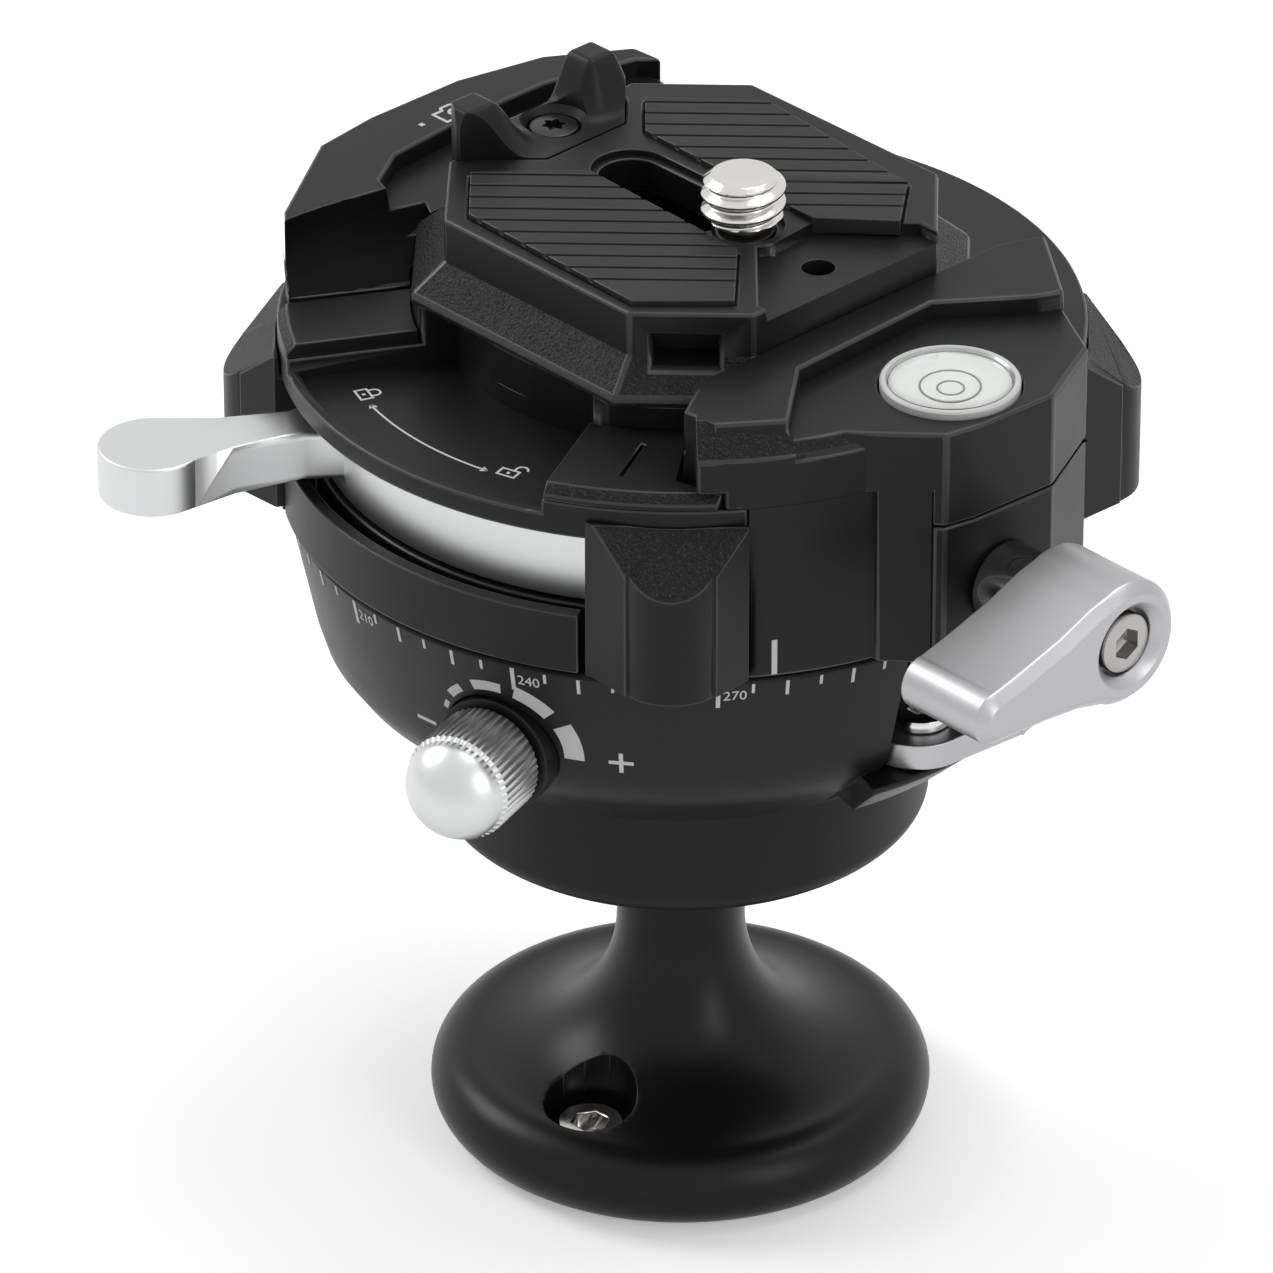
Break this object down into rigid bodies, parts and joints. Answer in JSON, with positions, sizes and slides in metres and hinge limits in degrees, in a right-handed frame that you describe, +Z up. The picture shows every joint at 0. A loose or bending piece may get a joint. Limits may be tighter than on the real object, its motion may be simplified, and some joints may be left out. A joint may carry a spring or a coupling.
{
  "type": "inverted ball head",
  "caption": "Inverted ball head: flared foot and neck, low ball in a scale housing, panning body with side levers and a thumb-lever dovetail clamp holding an octagonal plate.",
  "frame": {"origin": "centre of the foot's flat underside, on the neck's axis", "axes": "+Z up along the neck, +X towards the fixed jaw and the bubble level, the dovetail and the plate's travel along Y"},
  "size_m": [0.0778, 0.0718, 0.085],
  "materials": {
    "black_anodised": "satin black anodised",
    "silver_anodised": "fine bead-blasted silver",
    "ball_coating": "dark hard coat",
    "liner_plastic": "dark bearing plastic",
    "bronze": "bearing bronze",
    "stainless": "polished stainless",
    "pad_rubber": "moulded, grooved",
    "level_white": "white",
    "level_clear": "clear"
  },
  "bodies": {
    "root": {"foot": "black_anodised", "anti_twist_screw": "stainless", "ball_stem": "ball_coating"},
    "liner": {"ball_liner": "liner_plastic"},
    "cup": {"pressure_cup": "bronze", "seat_ring": "liner_plastic"},
    "housing": {"ball_housing": "black_anodised", "retaining_bowl": "black_anodised", "thrust_washer": "liner_plastic", "pan_retainer": "stainless", "spindle_screw": "stainless", "friction_bush": "black_anodised"},
    "ball_lock": {"ball_lock_lever": "silver_anodised", "ball_lock_shaft": "stainless", "ball_lever_screw": "stainless"},
    "lock_shoe": {"ball_lock_shoe": "bronze"},
    "friction_control": {"friction_knob": "silver_anodised", "friction_screw": "stainless"},
    "friction_shoe": {"friction_pad": "liner_plastic"},
    "pan": {"pan_body": "black_anodised", "pan_bush": "bronze", "window_skirt": "black_anodised", "detent_ball": "stainless", "detent_spring": "stainless", "clamp_disc": "black_anodised", "clamp_screws": "stainless", "left_guide_plate": "black_anodised", "front_guide_plate": "black_anodised", "fixed_jaw": "black_anodised", "jaw_screws": "stainless", "level_cup": "level_white", "level_lens": "level_clear"},
    "pan_lock": {"pan_lock_lever": "silver_anodised", "pan_lock_shaft": "stainless", "pan_lever_screw": "stainless"},
    "brake_shoe": {"pan_brake_shoe": "bronze"},
    "ring": {"cam_ring": "silver_anodised"},
    "jaw": {"moving_jaw": "black_anodised", "follower_pin": "stainless"},
    "plate": {"release_plate": "black_anodised", "left_pad": "pad_rubber", "right_pad": "pad_rubber", "anti_twist_ears": "black_anodised", "ears_screw": "stainless"},
    "screw_slider": {"screw_clip": "stainless"},
    "screw": {"camera_screw": "stainless"}
  },
  "joints": [
    {"name": "ball_direction", "type": "hinge", "parent": "root", "child": "liner", "pos_m": [0, 0, 0.0375], "axis": [0, 0, 1], "continuous": true},
    {"name": "ball_tilt", "type": "hinge", "parent": "liner", "child": "cup", "pos_m": [0, 0, 0.0375], "axis": [1, 0, 0], "range_deg": [-35, 35]},
    {"name": "ball_spin", "type": "hinge", "parent": "cup", "child": "housing", "pos_m": [0, 0, 0.0375], "axis": [0, 0, 1], "continuous": true},
    {"name": "ball_lock_turn", "type": "hinge", "parent": "housing", "child": "ball_lock", "pos_m": [0.0258, 0, 0.04475], "axis": [0, 0, 1], "range_deg": [-70, 0]},
    {"name": "lock_shoe_press", "type": "slide", "parent": "housing", "child": "lock_shoe", "axis": [1, 0, 0], "range_m": [0, 0.0002]},
    {"name": "friction_turn", "type": "hinge", "parent": "housing", "child": "friction_control", "pos_m": [0.00927, -0.02853, 0.0469], "axis": [0.309, -0.9511, 0], "range_deg": [0, 180]},
    {"name": "friction_press", "type": "slide", "parent": "housing", "child": "friction_shoe", "axis": [-0.309, 0.9511, 0], "range_m": [0, 0.0003002]},
    {"name": "pan_turn", "type": "hinge", "parent": "housing", "child": "pan", "pos_m": [0, 0, 0.05555], "axis": [0, 0, 1], "continuous": true},
    {"name": "pan_lock_turn", "type": "hinge", "parent": "pan", "child": "pan_lock", "pos_m": [0.04, 0, 0.06125], "axis": [1, 0, 0], "range_deg": [-65, 0]},
    {"name": "brake_press", "type": "slide", "parent": "pan", "child": "brake_shoe", "axis": [-1, 0, 0], "range_m": [0, 0.0002002]},
    {"name": "clamp_open", "type": "hinge", "parent": "pan", "child": "ring", "pos_m": [0, 0, 0.064], "axis": [0, 0, 1], "range_deg": [0, 37]},
    {"name": "jaw_open", "type": "slide", "parent": "pan", "child": "jaw", "axis": [-1, 0, 0], "range_m": [0, 0.0016]},
    {"name": "plate_slide", "type": "slide", "parent": "pan", "child": "plate", "axis": [0, -1, 0], "range_m": [0, 0.018]},
    {"name": "screw_slide", "type": "slide", "parent": "plate", "child": "screw_slider", "axis": [-1, 0, 0], "range_m": [0, 0.012]},
    {"name": "screw_turn", "type": "hinge", "parent": "screw_slider", "child": "screw", "pos_m": [0.0062, 0.0003, 0.08], "axis": [0, 0, 1], "continuous": true}
  ],
  "couplings": [
    {"joint": "lock_shoe_press", "follows": "ball_lock_turn", "m_per_rad": -0.0001637},
    {"joint": "friction_press", "follows": "friction_turn", "m_per_rad": 0.000095493},
    {"joint": "brake_press", "follows": "pan_lock_turn", "m_per_rad": -0.0001763},
    {"joint": "jaw_open", "follows": "clamp_open", "m_per_rad": 0.0024777}
  ]
}
